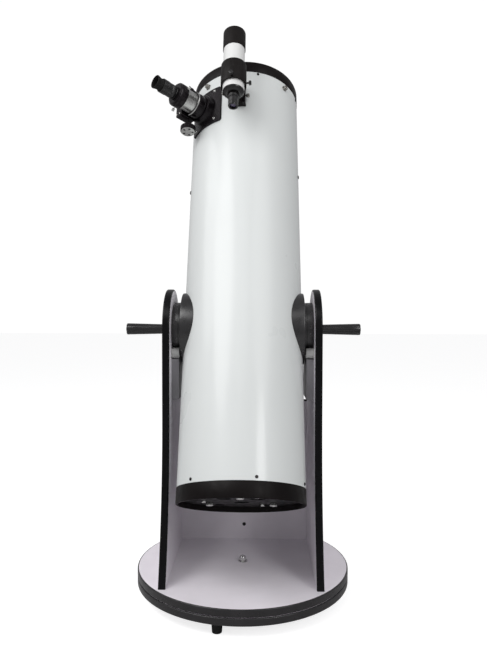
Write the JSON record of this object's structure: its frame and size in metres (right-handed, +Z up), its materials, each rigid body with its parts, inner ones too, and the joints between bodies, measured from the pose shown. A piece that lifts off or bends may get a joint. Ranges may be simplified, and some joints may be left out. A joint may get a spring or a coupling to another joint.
{
  "type": "dobsonian telescope",
  "caption": "Newtonian reflector tube with a straight-through finder and a side focuser, cradled by two side bearings in a white rocker box on a round turntable base.",
  "frame": {"origin": "on the azimuth axis at the floor, where the plane of the three feet crosses it", "axes": "+Z up along the azimuth axis; +X to the right along the altitude axis; -Y towards the lower end of the tilted tube, which is the pictured side"},
  "size_m": [0.6, 0.7532, 1.4745],
  "materials": {
    "white_laminate": "white melamine laminate",
    "black_edging": "satin",
    "foot_rubber": "matt",
    "dark_steel": "blackened",
    "bright_steel": "polished",
    "spider_steel": "brushed",
    "glide_plastic": "satin",
    "nylon": "satin",
    "screw_cap": "satin",
    "tube_white": "high gloss",
    "finder_white": "gloss",
    "ring_black": "satin",
    "bearing_black": "gloss",
    "anodised_black": "black anodised",
    "anodised_silver": "brushed",
    "knob_black": "anodised",
    "mirror_glass": "aluminised",
    "lens_glass": "coated",
    "soft_rubber": "matt"
  },
  "bodies": {
    "ground": {"ground_board": "white_laminate", "ground_board_edge": "black_edging", "rubber_feet": "foot_rubber", "foot_screws": "dark_steel", "glide_pads": "glide_plastic", "azimuth_bolt": "bright_steel", "azimuth_nut": "bright_steel"},
    "rocker": {"turntable_board": "white_laminate", "azimuth_bush": "glide_plastic", "left_side_board": "white_laminate", "right_side_board": "white_laminate", "rocker_edging": "black_edging", "back_panel": "white_laminate", "support_blocks": "white_laminate", "bearing_pegs": "nylon", "panel_screws": "screw_cap"},
    "tube": {"tube_shell": "tube_white", "top_ring": "ring_black", "bottom_ring": "ring_black", "ring_screws": "dark_steel", "bearing_saddles": "bearing_black", "bearing_discs": "bearing_black", "spider": "ring_black", "spider_bolts": "spider_steel", "secondary_holder": "bearing_black", "secondary_mirror": "mirror_glass", "primary_mirror": "mirror_glass", "mirror_tray": "ring_black", "mirror_clips": "soft_rubber", "mirror_cell": "ring_black", "collimation_springs": "bright_steel", "mirror_lock_screws": "bright_steel", "focuser_base": "anodised_black", "focuser_screws": "bright_steel", "focuser_housing": "anodised_black", "finder_shoe": "anodised_black"},
    "left_handle": {"left_handle": "bearing_black"},
    "right_handle": {"right_handle": "bearing_black"},
    "collimation_knob_1": {"collimation_knob_1": "knob_black"},
    "collimation_knob_2": {"collimation_knob_2": "knob_black"},
    "collimation_knob_3": {"collimation_knob_3": "knob_black"},
    "coarse_focus": {"focus_knobs": "anodised_silver"},
    "fine_focus": {"fine_focus_knob": "knob_black"},
    "focus_lock": {"focus_lock_screw": "bright_steel"},
    "drawtube": {"drawtube": "anodised_silver", "drawtube_collar": "anodised_black"},
    "collar_screw_1": {"collar_thumbscrew_1": "bright_steel"},
    "collar_screw_2": {"collar_thumbscrew_2": "bright_steel"},
    "adapter": {"eyepiece_adapter": "anodised_black"},
    "eyepiece": {"eyepiece_body": "anodised_black", "eyepiece_cup": "soft_rubber"},
    "finder_mount": {"finder_bracket": "anodised_black"},
    "shoe_screw": {"shoe_thumbscrew": "bright_steel"},
    "finder_gimbal": {"finder_o_ring": "soft_rubber"},
    "finder": {"finder_tube": "finder_white", "finder_dew_shield": "anodised_black", "finder_objective": "lens_glass", "finder_eyepiece": "anodised_black"},
    "finder_side_screw": {"finder_side_adjuster": "anodised_black"},
    "finder_outer_screw": {"finder_outer_adjuster": "anodised_black"}
  },
  "joints": [
    {"name": "azimuth", "type": "hinge", "parent": "ground", "child": "rocker", "pos_m": [0, 0, 0.05], "axis": [0, 0, 1], "continuous": true},
    {"name": "altitude", "type": "hinge", "parent": "rocker", "child": "tube", "pos_m": [0, 0, 0.672], "axis": [1, 0, 0], "range_deg": [-66.3, 23.7]},
    {"name": "left_handle_turn", "type": "hinge", "parent": "tube", "child": "left_handle", "pos_m": [-0.19, 0, 0.672], "axis": [1, 0, 0], "range_deg": [-90, 270]},
    {"name": "right_handle_turn", "type": "hinge", "parent": "tube", "child": "right_handle", "pos_m": [0.19, 0, 0.672], "axis": [1, 0, 0], "range_deg": [-270, 90]},
    {"name": "collimation_knob_1_turn", "type": "hinge", "parent": "tube", "child": "collimation_knob_1", "pos_m": [0.07621, -0.13174, 0.26241], "axis": [0, 0.4019, 0.9157], "range_deg": [-360, 360]},
    {"name": "collimation_knob_2_turn", "type": "hinge", "parent": "tube", "child": "collimation_knob_2", "pos_m": [-0.07621, -0.13174, 0.26241], "axis": [0, 0.4019, 0.9157], "range_deg": [-360, 360]},
    {"name": "collimation_knob_3_turn", "type": "hinge", "parent": "tube", "child": "collimation_knob_3", "pos_m": [0, -0.25261, 0.31547], "axis": [0, 0.4019, 0.9157], "range_deg": [-360, 360]},
    {"name": "coarse_focus_turn", "type": "hinge", "parent": "tube", "child": "coarse_focus", "pos_m": [-0.15615, 0.15243, 1.27127], "axis": [0, 0.4019, 0.9157], "range_deg": [-280, 90]},
    {"name": "focus_travel", "type": "slide", "parent": "tube", "child": "drawtube", "axis": [-0.7254, -0.6303, 0.2767], "range_m": [-0.009, 0.028]},
    {"name": "fine_focus_turn", "type": "hinge", "parent": "tube", "child": "fine_focus", "pos_m": [-0.15615, 0.15243, 1.27127], "axis": [0, 0.4019, 0.9157], "range_deg": [-2805, 905]},
    {"name": "focus_lock_turn", "type": "hinge", "parent": "tube", "child": "focus_lock", "pos_m": [-0.17743, 0.15437, 1.28134], "axis": [-0.6884, 0.6642, -0.2916], "range_deg": [-180, 180]},
    {"name": "collar_screw_1_turn", "type": "hinge", "parent": "drawtube", "child": "collar_screw_1", "pos_m": [-0.15142, 0.07449, 1.30853], "axis": [0.6857, -0.6266, 0.3703], "range_deg": [-180, 180]},
    {"name": "collar_screw_2_turn", "type": "hinge", "parent": "drawtube", "child": "collar_screw_2", "pos_m": [-0.19024, 0.10256, 1.2707], "axis": [-0.5273, 0.2504, -0.8119], "range_deg": [-180, 180]},
    {"name": "adapter_slide", "type": "slide", "parent": "drawtube", "child": "adapter", "axis": [-0.7254, -0.6303, 0.2767], "range_m": [0, 0.032]},
    {"name": "eyepiece_slide", "type": "slide", "parent": "adapter", "child": "eyepiece", "axis": [-0.7254, -0.6303, 0.2767], "range_m": [0, 0.029]},
    {"name": "finder_mount_slide", "type": "slide", "parent": "tube", "child": "finder_mount", "axis": [0, 0.4019, 0.9157], "range_m": [0, 0.063]},
    {"name": "shoe_screw_turn", "type": "hinge", "parent": "tube", "child": "shoe_screw", "pos_m": [0.00303, 0.09587, 1.29829], "axis": [0.9933, -0.106, 0.0465], "range_deg": [-180, 180]},
    {"name": "finder_tilt_side", "type": "hinge", "parent": "finder_mount", "child": "finder_gimbal", "pos_m": [-0.02663, 0.05007, 1.35443], "axis": [-0.1158, -0.9095, 0.3992], "range_deg": [-1.5, 1.5]},
    {"name": "finder_tilt_out", "type": "hinge", "parent": "finder_gimbal", "child": "finder", "pos_m": [-0.02663, 0.05007, 1.35443], "axis": [0.9933, -0.106, 0.0465], "range_deg": [-1.5, 1.5]},
    {"name": "finder_side_screw_travel", "type": "slide", "parent": "finder_mount", "child": "finder_side_screw", "axis": [0.9933, -0.106, 0.0465], "range_m": [-0.00145, 0.00145]},
    {"name": "finder_outer_screw_travel", "type": "slide", "parent": "finder_mount", "child": "finder_outer_screw", "axis": [-0.1158, -0.9095, 0.3992], "range_m": [-0.00145, 0.00145]}
  ],
  "couplings": [
    {"joint": "focus_travel", "follows": "coarse_focus_turn", "m_per_rad": -0.0057},
    {"joint": "fine_focus_turn", "follows": "coarse_focus_turn", "ratio": 10},
    {"joint": "finder_side_screw_travel", "follows": "finder_tilt_side", "m_per_rad": 0.053},
    {"joint": "finder_outer_screw_travel", "follows": "finder_tilt_out", "m_per_rad": -0.053}
  ]
}
